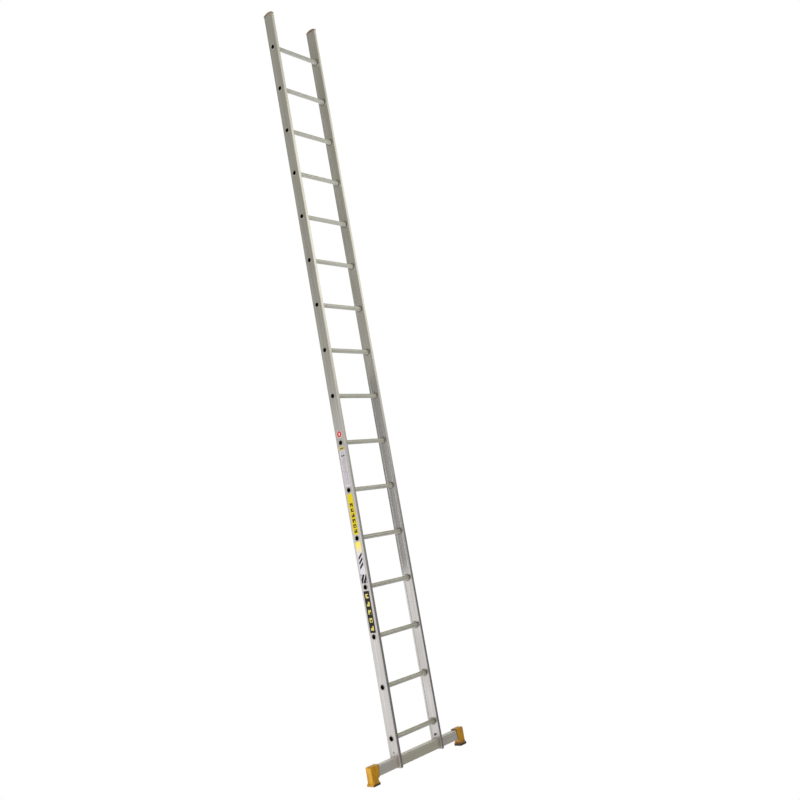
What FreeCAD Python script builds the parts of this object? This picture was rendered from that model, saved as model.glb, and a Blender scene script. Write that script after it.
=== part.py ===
import FreeCAD, Part
import math
import os

# Single-section aluminium leaning ladder with a stabiliser bar.
# Millimetres. +Z runs up the stiles, X runs along the rungs and -Y is the climber's side.
# The origin is on the plane of the soles, midway between the stiles and midway through their depth.

Vector = FreeCAD.Vector
AXIS_X = Vector(1, 0, 0)
AXIS_Y = Vector(0, 1, 0)
AXIS_Z = Vector(0, 0, 1)
ORIGIN = Vector(0, 0, 0)

# Driving dimensions: the whole ladder
RUNG_COUNT = 16
RUNG_PITCH = 250.0
FIRST_RUNG_Z = 172.0
CLEAR_WIDTH = 306.0
STILE_BOTTOM_Z = 31.0
STILE_TOP_Z = 4115.0

# Stile extrusion: a flat box with rounded outer corners and two low lips beside a shallow inner web
STILE_DEPTH = 66.0
STILE_THICK = 18.0
STILE_WALL = 2.0
OUTER_CORNER_R = 6.0
LIP_EDGE_R = 2.0
LIP_HEIGHT = 2.0
LIP_WIDTH = 10.0
LIP_SLOPE = 5.0
WEB_FILLET_R = 4.0
LABEL_CHANNEL_WIDTH = 41.2
LABEL_CHANNEL_DEPTH = 0.6

# Rung: a grooved round tube, swaged on both sides of each stile
RUNG_R = 12.0
RUNG_BORE_R = 10.5
RUNG_HOLE_CLEARANCE = 0.05
GROOVE_COUNT = 24
GROOVE_R = 0.55
GROOVE_END_GAP = 2.0
BEAD_R = 14.8
BEAD_LENGTH = 3.6
SWAGE_R = 15.0
SWAGE_LENGTH = 1.4
MOUTH_CHAMFER = 1.6

# Stabiliser bar: a rectangular tube through the foot of both stiles
BAR_DEPTH = 30.0
BAR_HEIGHT = 50.0
BAR_BOTTOM_Z = 34.0
BAR_HALF_LENGTH = 358.0
BAR_WALL = 2.2
BAR_CORNER_R = 3.0

# Moulded saddle that fills the stile's slot round the bar
SADDLE_SIDE = 2.4
SADDLE_ROOF = 4.4
SADDLE_TONGUE_HALF_DEPTH = 28.5
SADDLE_TONGUE_TOP_Z = 119.0
SADDLE_INNER_SETBACK = 1.4
COLLAR_CORNER_R = 1.0
HOLLOW_CORNER_R = 1.2
FIT_GAP = 0.1

# Fasteners
BOLT_R = 3.0
BOLT_Z = 104.0
BOLT_HEAD_R = 5.6
BOLT_HEAD_HEIGHT = 2.6
BOLT_SOCKET_FLATS = 4.0
BOLT_SOCKET_DEPTH = 1.5
BOLT_TAIL = 0.8
NUT_FLATS = 10.0
NUT_HEIGHT = 5.0
WASHER_R = 6.0
WASHER_THICK = 1.2
THREAD_GAP = 0.05
LOCK_SCREW_R = 2.4
LOCK_SCREW_HEAD_R = 4.6
LOCK_SCREW_HEAD_HEIGHT = 2.2
LOCK_SCREW_LENGTH = 16.0
LOCK_SCREW_SLOT = 1.0

# Foot: a moulded cap over the bar's end, with a rubber sole pressed into it
FOOT_OUTER_X = 362.0
FOOT_SLEEVE_INNER_X = 303.0
FOOT_SLEEVE_LOW_X = 311.0
FOOT_NECK_INNER_X = 319.0
FOOT_HALF_DEPTH = 18.5
FOOT_TOP_Z = 90.0
FOOT_CORNER_R = 4.0
SOLE_HEIGHT = 9.0
SKIRT_TOP_Z = 25.0
SKIRT_FLARE = 4.5
SKIRT_STEPS = 5
SKIRT_LIP = 2.0
SOLE_OVERHANG = 0.6
GUARD_BOTTOM_Z = 2.0
SOLE_EDGE_R = 1.8
TREAD_COUNT = 5
TREAD_WIDTH = 2.4
TREAD_DEPTH = 2.2
PLUG_INSET_X = 8.0
PLUG_HALF_DEPTH = 11.0
PLUG_HEIGHT = 14.0

# Cap on the top of each stile
CAP_OVERHANG = 0.4
CAP_EDGE_HEIGHT = 7.0
CAP_CROWN_HEIGHT = 15.0
CAP_TOP_R = 2.2
CAP_PLUG_LENGTH = 30.0
CAP_PLUG_HALF_DEPTH = 28.5

# Labels in the channel on the left stile's outer face
LABEL_THICK = 0.3
LABEL_HALF_WIDTH = 19.0
LABEL_CORNER_R = 2.0
LABEL_HOLE_GAP = 4.6
DISC_LABEL_R = 18.5
DISC_LABEL_RISE = 45.0
DISC_LABEL_RUNG = 7
PATCH_LABEL_HEIGHT = 20.0

# Derived places
LIP_X = CLEAR_WIDTH / 2
OUTER_X = LIP_X + STILE_THICK
WEB_X = LIP_X + LIP_HEIGHT
CHANNEL_X = OUTER_X - LABEL_CHANNEL_DEPTH
HOLLOW_INNER_X = WEB_X + STILE_WALL
HOLLOW_OUTER_X = OUTER_X - STILE_WALL
BAR_TOP_Z = BAR_BOTTOM_Z + BAR_HEIGHT
SLOT_HALF_DEPTH = BAR_DEPTH / 2 + SADDLE_SIDE + FIT_GAP
SLOT_TOP_Z = BAR_TOP_Z + SADDLE_ROOF + FIT_GAP
SADDLE_CENTRE_X = (HOLLOW_INNER_X + HOLLOW_OUTER_X) / 2


def rung_z(number):
    """Height of a rung's axis; rung 1 is the lowest."""
    return FIRST_RUNG_Z + RUNG_PITCH * (number - 1)


def rounded_wire(points, radii):
    """Closed wire through the points, with each corner rounded by its own radius (0 leaves it sharp)."""
    count = len(points)
    starts = []
    ends = []
    mids = []
    for i in range(count):
        corner = points[i]
        back = (points[i - 1] - corner).normalize()
        ahead = (points[(i + 1) % count] - corner).normalize()
        half_angle = back.getAngle(ahead) / 2
        reach = radii[i] / math.tan(half_angle)
        starts.append(corner + back * reach)
        ends.append(corner + ahead * reach)
        inward = (back + ahead).normalize()
        mids.append(corner + inward * (radii[i] / math.sin(half_angle) - radii[i]))
    edges = []
    for i in range(count):
        if radii[i] > 0:
            edges.append(Part.Arc(starts[i], mids[i], ends[i]).toShape())
        edges.append(Part.LineSegment(ends[i], starts[(i + 1) % count]).toShape())
    return Part.Wire(edges)


def prism(points, radii, direction):
    """Solid swept from a rounded outline along a direction."""
    return Part.Face(rounded_wire(points, radii)).extrude(direction)


def block(x0, x1, y0, y1, z0, z1):
    """Plain box between two corners."""
    return Part.makeBox(x1 - x0, y1 - y0, z1 - z0, Vector(x0, y0, z0))


def upright_block(x0, x1, half_depth, z0, z1, corner_r):
    """Box whose four upright edges are rounded."""
    points = rectangle_at(x0, x1, half_depth, z0)
    return prism(points, [corner_r] * 4, AXIS_Z * (z1 - z0))


def rectangle_at(x0, x1, half_depth, z):
    """Corners of a level rectangle, in order."""
    return [
        Vector(x0, -half_depth, z),
        Vector(x1, -half_depth, z),
        Vector(x1, half_depth, z),
        Vector(x0, half_depth, z),
    ]


def rod_x(radius, x0, x1, z):
    """Cylinder along X on the ladder's centre plane."""
    return Part.makeCylinder(radius, x1 - x0, Vector(x0, 0, z), AXIS_X)


def hexagon_x(flats, x0, x1, z):
    """Hexagonal bar along X, with one flat facing up."""
    radius = flats / math.sqrt(3)
    corners = []
    for i in range(6):
        angle = math.radians(60 * i)
        corners.append(Vector(x0, radius * math.cos(angle), z + radius * math.sin(angle)))
    return prism(corners, [0] * 6, AXIS_X * (x1 - x0))


def mirrored(shape):
    """The same piece on the other side of the ladder."""
    return shape.mirror(ORIGIN, AXIS_X)


def keep_pair(name, right_shape):
    """Writes a right-hand piece and its mirror image as two nodes."""
    keep("right_" + name, right_shape)
    keep("left_" + name, mirrored(right_shape))


def keep(node, shape):
    """Writes one node's STEP file."""
    if not shape.isValid():
        raise ValueError(node + " is not a valid solid")
    shape.exportStep("parts/" + node + ".step")


def stile_half_outline(with_channel):
    """Outline points and radii from the outer face's middle round to the inner web's middle, for y > 0."""
    half = STILE_DEPTH / 2
    lip_foot = half - LIP_WIDTH
    points = [
        (OUTER_X, half, OUTER_CORNER_R),
        (LIP_X, half, LIP_EDGE_R),
        (LIP_X, lip_foot, LIP_EDGE_R),
        (WEB_X, lip_foot - LIP_SLOPE, WEB_FILLET_R),
    ]
    if with_channel:
        edge = LABEL_CHANNEL_WIDTH / 2
        channel = [
            (CHANNEL_X, edge - LABEL_CHANNEL_DEPTH, 0),
            (OUTER_X, edge, 0),
        ]
        points = channel + points
    return points


def stile_wire(with_channel):
    """Closed outline of the right stile at its foot."""
    front = stile_half_outline(with_channel)
    back = [(x, -y, radius) for x, y, radius in reversed(front)]
    outline = front + back
    points = [Vector(x, y, STILE_BOTTOM_Z) for x, y, radius in outline]
    radii = [radius for x, y, radius in outline]
    return rounded_wire(points, radii)


def make_stile():
    """Right stile: the hollow extrusion with its rung holes, bolt hole and the slot for the bar."""
    rise = AXIS_Z * (STILE_TOP_Z - STILE_BOTTOM_Z)
    outside = Part.Face(stile_wire(True)).extrude(rise)
    plain_face = Part.Face(stile_wire(False))
    inside = plain_face.makeOffset2D(-STILE_WALL).extrude(rise)
    stile = outside.cut(inside)
    cutters = []
    for number in range(1, RUNG_COUNT + 1):
        cutters.append(rod_x(RUNG_R + RUNG_HOLE_CLEARANCE, LIP_X, OUTER_X + 1, rung_z(number)))
    cutters.append(rod_x(BOLT_R + FIT_GAP, LIP_X, OUTER_X + 1, BOLT_Z))
    cutters.append(
        block(
            LIP_X - 1,
            OUTER_X + 1,
            -SLOT_HALF_DEPTH,
            SLOT_HALF_DEPTH,
            STILE_BOTTOM_Z - 1,
            SLOT_TOP_Z,
        )
    )
    return stile.cut(cutters)


def make_rung():
    """Rung about the origin, along X: grooved between its beads and flared over the stiles' outer faces."""
    end_x = CHANNEL_X + SWAGE_LENGTH
    bead_inner_x = WEB_X - BEAD_LENGTH
    tube = Part.makeCylinder(RUNG_R, 2 * end_x, Vector(-end_x, 0, 0), AXIS_X)
    bead_points = [
        Vector(bead_inner_x, 0, RUNG_BORE_R + 1),
        Vector(WEB_X, 0, RUNG_BORE_R + 1),
        Vector(WEB_X, 0, BEAD_R),
        Vector(bead_inner_x, 0, BEAD_R),
    ]
    bead_round = BEAD_LENGTH / 2 - 0.1
    bead_face = Part.Face(rounded_wire(bead_points, [0, 0, bead_round, bead_round]))
    bead = bead_face.revolve(ORIGIN, AXIS_X, 360)
    swage = Part.makeCylinder(SWAGE_R, SWAGE_LENGTH, Vector(CHANNEL_X, 0, 0), AXIS_X)
    swage = swage.makeFillet(SWAGE_LENGTH * 0.6, [swage.Edges[0]])
    rung = tube.fuse([bead, mirrored(bead), swage, mirrored(swage)]).removeSplitter()
    bore = Part.makeCylinder(RUNG_BORE_R, 2 * end_x + 2, Vector(-end_x - 1, 0, 0), AXIS_X)
    mouth = Part.makeCone(
        RUNG_BORE_R, RUNG_BORE_R + MOUTH_CHAMFER, MOUTH_CHAMFER, Vector(end_x - MOUTH_CHAMFER, 0, 0), AXIS_X
    )
    cutters = [bore, mouth, mirrored(mouth)]
    groove_half = bead_inner_x - GROOVE_END_GAP
    for i in range(GROOVE_COUNT):
        angle = 2 * math.pi * i / GROOVE_COUNT
        start = Vector(-groove_half, RUNG_R * math.cos(angle), RUNG_R * math.sin(angle))
        cutters.append(Part.makeCylinder(GROOVE_R, 2 * groove_half, start, AXIS_X))
    return rung.cut(cutters)


def make_bar():
    """Stabiliser bar with the two holes that its lock screws bite into."""
    half = BAR_DEPTH / 2
    start = Vector(-BAR_HALF_LENGTH, 0, 0)
    run = AXIS_X * (2 * BAR_HALF_LENGTH)

    def section(inset, corner_r):
        corners = [
            start + Vector(0, -half + inset, BAR_BOTTOM_Z + inset),
            start + Vector(0, half - inset, BAR_BOTTOM_Z + inset),
            start + Vector(0, half - inset, BAR_TOP_Z - inset),
            start + Vector(0, -half + inset, BAR_TOP_Z - inset),
        ]
        return prism(corners, [corner_r] * 4, run)

    bar = section(0, BAR_CORNER_R).cut(section(BAR_WALL, BAR_CORNER_R - BAR_WALL))
    hole = Part.makeCylinder(
        LOCK_SCREW_R + THREAD_GAP, BAR_WALL + 2, Vector(SADDLE_CENTRE_X, 0, BAR_BOTTOM_Z - 1), AXIS_Z
    )
    return bar.cut([hole, mirrored(hole)])


def make_saddle():
    """Right saddle: a closed collar round the bar, with a tongue up the stile's hollow for the cross bolt."""
    collar_inner_x = LIP_X + SADDLE_INNER_SETBACK
    collar = upright_block(
        collar_inner_x,
        CHANNEL_X,
        SLOT_HALF_DEPTH - FIT_GAP,
        STILE_BOTTOM_Z,
        SLOT_TOP_Z - FIT_GAP,
        COLLAR_CORNER_R,
    )
    tongue = upright_block(
        HOLLOW_INNER_X + FIT_GAP,
        HOLLOW_OUTER_X - FIT_GAP,
        SADDLE_TONGUE_HALF_DEPTH,
        STILE_BOTTOM_Z,
        SADDLE_TONGUE_TOP_Z,
        HOLLOW_CORNER_R,
    )
    passage = block(
        LIP_X,
        OUTER_X,
        -BAR_DEPTH / 2,
        BAR_DEPTH / 2,
        BAR_BOTTOM_Z,
        BAR_TOP_Z,
    )
    upright = [e for e in passage.Edges if abs(abs(e.tangentAt(e.FirstParameter).x) - 1) < 1e-6]
    passage = passage.makeFillet(BAR_CORNER_R, upright)
    bolt_hole = rod_x(BOLT_R + FIT_GAP, LIP_X, OUTER_X, BOLT_Z)
    return collar.fuse(tongue).removeSplitter().cut([passage, bolt_hole, lock_screw_body(THREAD_GAP)])


def lock_screw_body(gap):
    """Countersunk screw up through the saddle's floor into the bar, swollen by a gap to cut its own hole."""
    base = Vector(SADDLE_CENTRE_X, 0, STILE_BOTTOM_Z)
    head = Part.makeCone(LOCK_SCREW_HEAD_R + gap, LOCK_SCREW_R + gap, LOCK_SCREW_HEAD_HEIGHT, base, AXIS_Z)
    shank = Part.makeCylinder(LOCK_SCREW_R + gap, LOCK_SCREW_LENGTH, base, AXIS_Z)
    return head.fuse(shank).removeSplitter()


def make_lock_screw():
    """Right lock screw, with a crossed driver recess in its head."""
    screw = lock_screw_body(0)
    reach = LOCK_SCREW_HEAD_R * 0.6
    half_slot = LOCK_SCREW_SLOT / 2
    along_x = block(-reach, reach, -half_slot, half_slot, 0, LOCK_SCREW_SLOT)
    along_y = block(-half_slot, half_slot, -reach, reach, 0, LOCK_SCREW_SLOT)
    recess = along_x.fuse(along_y)
    recess.translate(Vector(SADDLE_CENTRE_X, 0, STILE_BOTTOM_Z))
    return screw.cut(recess)


def make_bolt():
    """Right cross bolt: a low domed head on the stile's outer face and a shank through to its nut."""
    tail_x = WEB_X - WASHER_THICK - NUT_HEIGHT - BOLT_TAIL
    shank = rod_x(BOLT_R, tail_x, CHANNEL_X + 1, BOLT_Z)
    shank = shank.makeChamfer(0.6, [e for e in shank.Edges if abs(e.CenterOfMass.x - tail_x) < 1e-6])
    sphere_r = (BOLT_HEAD_R**2 + BOLT_HEAD_HEIGHT**2) / (2 * BOLT_HEAD_HEIGHT)
    centre = Vector(CHANNEL_X + BOLT_HEAD_HEIGHT - sphere_r, 0, BOLT_Z)
    ball = Part.makeSphere(sphere_r, centre)
    head = ball.common(rod_x(BOLT_HEAD_R * 2, CHANNEL_X, CHANNEL_X + 2 * BOLT_HEAD_HEIGHT, BOLT_Z))
    head_top = CHANNEL_X + BOLT_HEAD_HEIGHT
    socket = hexagon_x(BOLT_SOCKET_FLATS, head_top - BOLT_SOCKET_DEPTH, head_top + 1, BOLT_Z)
    return head.fuse(shank).cut(socket)


def make_nut():
    """Right nut, against its washer, with both ends of the hexagon chamfered."""
    outer_x = WEB_X - WASHER_THICK
    inner_x = outer_x - NUT_HEIGHT
    body = hexagon_x(NUT_FLATS, inner_x, outer_x, BOLT_Z)
    corner_r = NUT_FLATS / math.sqrt(3)
    rounding = rod_x(corner_r, inner_x, outer_x, BOLT_Z)
    ends = [e for e in rounding.Edges if e.Length > corner_r * 6]
    rounding = rounding.makeChamfer(0.7, ends)
    return body.common(rounding).cut(rod_x(BOLT_R + THREAD_GAP, inner_x - 1, outer_x + 1, BOLT_Z))


def make_washer():
    """Right washer, on the stile's inner web."""
    disc = rod_x(WASHER_R, WEB_X - WASHER_THICK, WEB_X, BOLT_Z)
    return disc.cut(rod_x(BOLT_R + FIT_GAP, WEB_X - WASHER_THICK - 1, WEB_X + 1, BOLT_Z))


def skirt_wire(share):
    """Outline of the foot's skirt, from 0 at the neck to 1 at the full flare, on a quarter-ellipse cove."""
    flare = SKIRT_FLARE * (1 - math.cos(share * math.pi / 2))
    foot_z = SOLE_HEIGHT + SKIRT_LIP
    z = SKIRT_TOP_Z - (SKIRT_TOP_Z - foot_z) * math.sin(share * math.pi / 2)
    corners = rectangle_at(FOOT_NECK_INNER_X - flare, FOOT_OUTER_X + flare, FOOT_HALF_DEPTH + flare, z)
    return rounded_wire(corners, [FOOT_CORNER_R + flare / 2] * 4)


def sole_plug(gap):
    """Block that stands up from the sole into the cap's neck."""
    return upright_block(
        FOOT_NECK_INNER_X + PLUG_INSET_X - gap,
        FOOT_OUTER_X - PLUG_INSET_X + gap,
        PLUG_HALF_DEPTH + gap,
        SOLE_HEIGHT - gap,
        SOLE_HEIGHT + PLUG_HEIGHT + gap,
        3.0,
    )


def make_foot_cap():
    """Right foot cap: a sleeve round the bar's end, a flared neck and a guard before the sole's end."""
    side = [
        (FOOT_SLEEVE_INNER_X, FOOT_TOP_Z, 3.0),
        (FOOT_OUTER_X, FOOT_TOP_Z, 6.0),
        (FOOT_OUTER_X, SKIRT_TOP_Z - 1, 0),
        (FOOT_NECK_INNER_X, SKIRT_TOP_Z - 1, 0),
        (FOOT_SLEEVE_LOW_X, BAR_BOTTOM_Z - 3.0, 2.0),
    ]
    profile = [Vector(x, -FOOT_HALF_DEPTH, z) for x, z, radius in side]
    body = prism(profile, [radius for x, z, radius in side], AXIS_Y * (2 * FOOT_HALF_DEPTH))
    rounded = upright_block(
        FOOT_SLEEVE_INNER_X - 20, FOOT_OUTER_X, FOOT_HALF_DEPTH, SOLE_HEIGHT, FOOT_TOP_Z + 1, FOOT_CORNER_R
    )
    body = body.common(rounded)
    top_edges = [
        e
        for e in body.Edges
        if abs(e.CenterOfMass.z - FOOT_TOP_Z) < 1e-6 and abs(abs(e.tangentAt(e.FirstParameter).x) - 1) < 1e-6
    ]
    body = body.makeFillet(2.5, top_edges)
    wires = [skirt_wire(step / SKIRT_STEPS) for step in range(SKIRT_STEPS + 1)]
    skirt = Part.makeLoft(wires, True, True)
    lip_wire = wires[-1].copy()
    lip = Part.Face(lip_wire).extrude(AXIS_Z * -SKIRT_LIP)
    half_depth = STILE_DEPTH / 2
    skirt_end_x = FOOT_OUTER_X + SKIRT_FLARE
    guard_side = block(FOOT_OUTER_X, skirt_end_x, -half_depth, half_depth, GUARD_BOTTOM_Z, SOLE_HEIGHT)
    guard_drop = AXIS_Z * (GUARD_BOTTOM_Z - SOLE_HEIGHT - SKIRT_LIP)
    guard = Part.Face(lip_wire).extrude(guard_drop).common(guard_side)
    cap = body.fuse([skirt, lip, guard]).removeSplitter()
    pocket_points = [
        Vector(FOOT_SLEEVE_INNER_X - 20, -BAR_DEPTH / 2, BAR_BOTTOM_Z),
        Vector(FOOT_SLEEVE_INNER_X - 20, BAR_DEPTH / 2, BAR_BOTTOM_Z),
        Vector(FOOT_SLEEVE_INNER_X - 20, BAR_DEPTH / 2, BAR_TOP_Z),
        Vector(FOOT_SLEEVE_INNER_X - 20, -BAR_DEPTH / 2, BAR_TOP_Z),
    ]
    pocket_length = BAR_HALF_LENGTH - FOOT_SLEEVE_INNER_X + 20
    pocket = prism(pocket_points, [BAR_CORNER_R] * 4, AXIS_X * pocket_length)
    return cap.cut([pocket, sole_plug(FIT_GAP)])


def make_sole():
    """Right sole: a treaded rubber pad behind the cap's guard, with a plug that presses up into the cap."""
    grow = SKIRT_FLARE + SOLE_OVERHANG
    pad = upright_block(
        FOOT_NECK_INNER_X - grow,
        FOOT_OUTER_X + grow,
        FOOT_HALF_DEPTH + grow,
        0,
        SOLE_HEIGHT,
        FOOT_CORNER_R + grow / 2,
    )
    rim_edges = [
        edge
        for edge in pad.Edges
        if abs(edge.CenterOfMass.z) < 1e-6 or abs(edge.CenterOfMass.z - SOLE_HEIGHT) < 1e-6
    ]
    pad = pad.makeFillet(SOLE_EDGE_R, rim_edges)
    treads = []
    spacing = 2 * (FOOT_HALF_DEPTH + grow) / (TREAD_COUNT + 1)
    for i in range(TREAD_COUNT):
        y = (i - (TREAD_COUNT - 1) / 2) * spacing
        treads.append(
            block(
                FOOT_NECK_INNER_X - 2 * grow,
                FOOT_OUTER_X + 2 * grow,
                y - TREAD_WIDTH / 2,
                y + TREAD_WIDTH / 2,
                -1,
                TREAD_DEPTH,
            )
        )
    half_depth = STILE_DEPTH / 2
    sole_end_x = FOOT_OUTER_X - FIT_GAP
    beyond_guard = block(sole_end_x, sole_end_x + 2 * grow, -half_depth, half_depth, -1, SOLE_HEIGHT + 1)
    return pad.cut(beyond_guard).fuse(sole_plug(0)).removeSplitter().cut(treads)


def make_top_cap():
    """Right top cap: an arched head the shape of the stile's outline, over a plug in its hollow."""
    half = STILE_DEPTH / 2 + CAP_OVERHANG
    inner_x = LIP_X - CAP_OVERHANG
    outer_x = OUTER_X + CAP_OVERHANG
    low_left = Vector(inner_x, -half, STILE_TOP_Z)
    low_right = Vector(inner_x, half, STILE_TOP_Z)
    high_left = Vector(inner_x, -half, STILE_TOP_Z + CAP_EDGE_HEIGHT)
    high_right = Vector(inner_x, half, STILE_TOP_Z + CAP_EDGE_HEIGHT)
    crown = Vector(inner_x, 0, STILE_TOP_Z + CAP_CROWN_HEIGHT)
    edges = [
        Part.LineSegment(low_left, low_right).toShape(),
        Part.LineSegment(low_right, high_right).toShape(),
        Part.Arc(high_right, crown, high_left).toShape(),
        Part.LineSegment(high_left, low_left).toShape(),
    ]
    head = Part.Face(Part.Wire(edges)).extrude(AXIS_X * (outer_x - inner_x))
    corners = rectangle_at(inner_x, outer_x, half, STILE_TOP_Z)
    radii = [LIP_EDGE_R, OUTER_CORNER_R, OUTER_CORNER_R, LIP_EDGE_R]
    head = head.common(prism(corners, radii, AXIS_Z * (CAP_CROWN_HEIGHT + 1)))
    crown_faces = [f for f in head.Faces if f.normalAt(0, 0).z > 0.7 and f.CenterOfMass.z > STILE_TOP_Z + 1]
    head = head.makeFillet(CAP_TOP_R, crown_faces[0].Edges)
    plug = upright_block(
        HOLLOW_INNER_X + FIT_GAP,
        HOLLOW_OUTER_X - FIT_GAP,
        CAP_PLUG_HALF_DEPTH,
        STILE_TOP_Z - CAP_PLUG_LENGTH,
        STILE_TOP_Z + 1,
        HOLLOW_CORNER_R,
    )
    return head.fuse(plug).removeSplitter()


def make_label(z0, z1):
    """Thin label with rounded corners, in the channel on the left stile's outer face."""
    face_x = -CHANNEL_X
    points = [
        Vector(face_x, -LABEL_HALF_WIDTH, z0),
        Vector(face_x, LABEL_HALF_WIDTH, z0),
        Vector(face_x, LABEL_HALF_WIDTH, z1),
        Vector(face_x, -LABEL_HALF_WIDTH, z1),
    ]
    return prism(points, [LABEL_CORNER_R] * 4, AXIS_X * -LABEL_THICK)


def make_disc_label():
    """Round label above one of the rung ends."""
    centre = Vector(-CHANNEL_X, 0, rung_z(DISC_LABEL_RUNG) + DISC_LABEL_RISE)
    return Part.makeCylinder(DISC_LABEL_R, LABEL_THICK, centre, AXIS_X * -1)


def write_labels():
    """The run of labels between the rung ends, from the highest down."""
    clear = SWAGE_R + LABEL_HOLE_GAP
    keep("round_label", make_disc_label())
    below_disc = rung_z(DISC_LABEL_RUNG) - clear
    patch_low = below_disc - PATCH_LABEL_HEIGHT
    keep("patch_label", make_label(patch_low, below_disc))
    keep("data_label", make_label(rung_z(DISC_LABEL_RUNG - 1) + clear, patch_low - 2))
    keep("yellow_label", make_label(rung_z(DISC_LABEL_RUNG - 2) + clear, rung_z(DISC_LABEL_RUNG - 1) - clear))
    white_low = rung_z(DISC_LABEL_RUNG - 3) + 66
    keep("white_label", make_label(white_low, rung_z(DISC_LABEL_RUNG - 2) - clear))
    keep("striped_label", make_label(rung_z(DISC_LABEL_RUNG - 3) + clear, white_low - 2))
    keep("black_label", make_label(rung_z(DISC_LABEL_RUNG - 4) + clear, rung_z(DISC_LABEL_RUNG - 3) - clear))


def write_rungs():
    """Every rung is the same piece, lifted to its own height."""
    rung = make_rung()
    for number in range(1, RUNG_COUNT + 1):
        placed = rung.copy()
        placed.translate(AXIS_Z * rung_z(number))
        keep("rung_%02d" % number, placed)


os.makedirs("parts", exist_ok=True)
keep_pair("stile", make_stile())
write_rungs()
keep("stabiliser_bar", make_bar())
keep_pair("bar_saddle", make_saddle())
keep_pair("saddle_bolt", make_bolt())
keep_pair("saddle_nut", make_nut())
keep_pair("saddle_washer", make_washer())
keep_pair("bar_lock_screw", make_lock_screw())
keep_pair("foot_cap", make_foot_cap())
keep_pair("foot_sole", make_sole())
keep_pair("top_cap", make_top_cap())
write_labels()
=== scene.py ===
"""Studio scene of a single-section aluminium leaning ladder with a stabiliser bar.

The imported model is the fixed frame. Metres; +Z runs up the stiles, X runs along the rungs and
-Y is the climber's side.
"""

import logging
import math
from dataclasses import dataclass
from enum import Enum
from typing import Any, Callable

import bmesh
import bpy
from mathutils import Matrix, Vector


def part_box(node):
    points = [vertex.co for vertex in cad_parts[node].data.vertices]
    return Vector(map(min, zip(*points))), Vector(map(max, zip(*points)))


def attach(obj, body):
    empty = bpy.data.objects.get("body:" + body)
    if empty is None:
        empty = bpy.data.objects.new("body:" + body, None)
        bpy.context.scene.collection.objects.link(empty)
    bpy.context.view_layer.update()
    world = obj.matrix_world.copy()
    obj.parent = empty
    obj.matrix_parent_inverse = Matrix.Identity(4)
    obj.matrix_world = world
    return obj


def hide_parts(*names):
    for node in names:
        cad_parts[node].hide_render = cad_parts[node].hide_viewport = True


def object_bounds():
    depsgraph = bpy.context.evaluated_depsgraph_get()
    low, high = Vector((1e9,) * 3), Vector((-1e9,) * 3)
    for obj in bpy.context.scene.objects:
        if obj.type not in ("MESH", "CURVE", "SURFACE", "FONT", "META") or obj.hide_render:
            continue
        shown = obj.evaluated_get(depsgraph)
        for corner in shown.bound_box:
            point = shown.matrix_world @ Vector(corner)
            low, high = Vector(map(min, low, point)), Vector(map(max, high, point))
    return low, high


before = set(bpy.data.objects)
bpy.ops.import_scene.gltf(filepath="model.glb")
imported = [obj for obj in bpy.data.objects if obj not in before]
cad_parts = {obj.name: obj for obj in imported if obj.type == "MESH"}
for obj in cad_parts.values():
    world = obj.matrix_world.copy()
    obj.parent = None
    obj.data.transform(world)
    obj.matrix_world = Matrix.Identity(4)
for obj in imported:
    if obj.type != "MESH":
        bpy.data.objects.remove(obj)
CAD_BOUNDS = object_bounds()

LOG = logging.getLogger("ladder")
BODY = "root"
TOUCH = 0.0005  # how near a plane, in metres, an edge or a face counts as lying on it
DOWN = -0.9  # a face whose normal's Z is below this faces down

Colour = tuple[float, float, float, float]
Triple = tuple[float, float, float]
WHITE: Colour = (1.0, 1.0, 1.0, 1.0)


def tone(red: int, green: int, blue: int) -> Colour:
    """Turn a display colour into the linear colour that a shader works in.

    Args:
        red: Red, 0 to 255.
        green: Green, 0 to 255.
        blue: Blue, 0 to 255.

    Returns:
        The linear colour with full opacity.
    """

    def linear(value: int) -> float:
        """Undo the display curve of one channel."""
        share = value / 255
        return share / 12.92 if share <= 0.04045 else ((share + 0.055) / 1.055) ** 2.4

    return (linear(red), linear(green), linear(blue), 1.0)


class Side(Enum):
    """The two sides of the ladder, as seen by someone who faces it."""

    LEFT = -1
    RIGHT = 1

    @property
    def word(self) -> str:
        """The word that node names start with."""
        return self.name.lower()


class Axis(Enum):
    """The direction that a profile was extruded along."""

    X = 0
    Z = 2

    def stretch(self, across: float, along: float) -> Triple:
        """Features per metre across and along the profile, as factors for a texture's coordinates.

        Args:
            across: Features per metre across the profile.
            along: Features per metre along it.

        Returns:
            One factor for each coordinate.
        """
        factors = [across, across, across]
        factors[self.value] = along
        return (factors[0], factors[1], factors[2])


# ---------------------------------------------------------------------------------------------
# Shader maths
# ---------------------------------------------------------------------------------------------


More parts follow.
